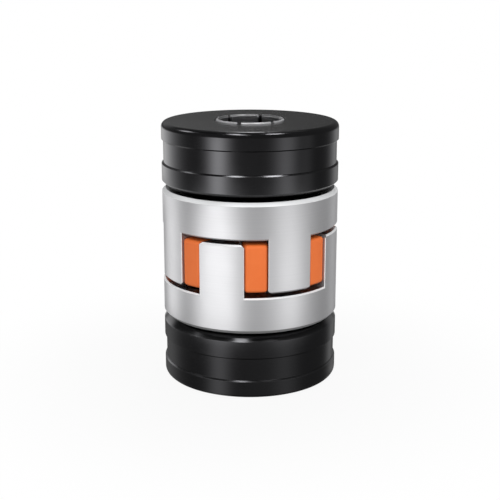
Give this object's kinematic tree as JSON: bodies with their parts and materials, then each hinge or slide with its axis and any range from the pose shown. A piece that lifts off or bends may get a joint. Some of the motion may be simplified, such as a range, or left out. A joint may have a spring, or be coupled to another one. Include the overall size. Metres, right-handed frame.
{
  "type": "flexible jaw coupling",
  "caption": "Backlash-free jaw coupling: two silver hubs meet across an orange elastic spider, and a black clamp ring on each slit taper collet grips a shaft.",
  "frame": {"origin": "middle of the lower collet's end, on the shaft axis", "axes": "+Z along the shafts from the lower end to the upper end, -Y through the middle of one spider arm"},
  "size_m": [0.055, 0.055, 0.082],
  "materials": {
    "hub_metal": "fine turned, clear anodised, satin",
    "ring_black": "turned, black anodised, semi gloss",
    "spider_elastomer": "moulded polyurethane, satin",
    "screw_steel": "black oxide"
  },
  "bodies": {
    "root": {"hub_upper": "hub_metal", "hub_lower": "hub_metal", "clamp_ring_upper": "ring_black", "clamp_ring_lower": "ring_black", "spider": "spider_elastomer", "clamp_screws_upper": "screw_steel", "clamp_screws_lower": "screw_steel"}
  },
  "joints": []
}
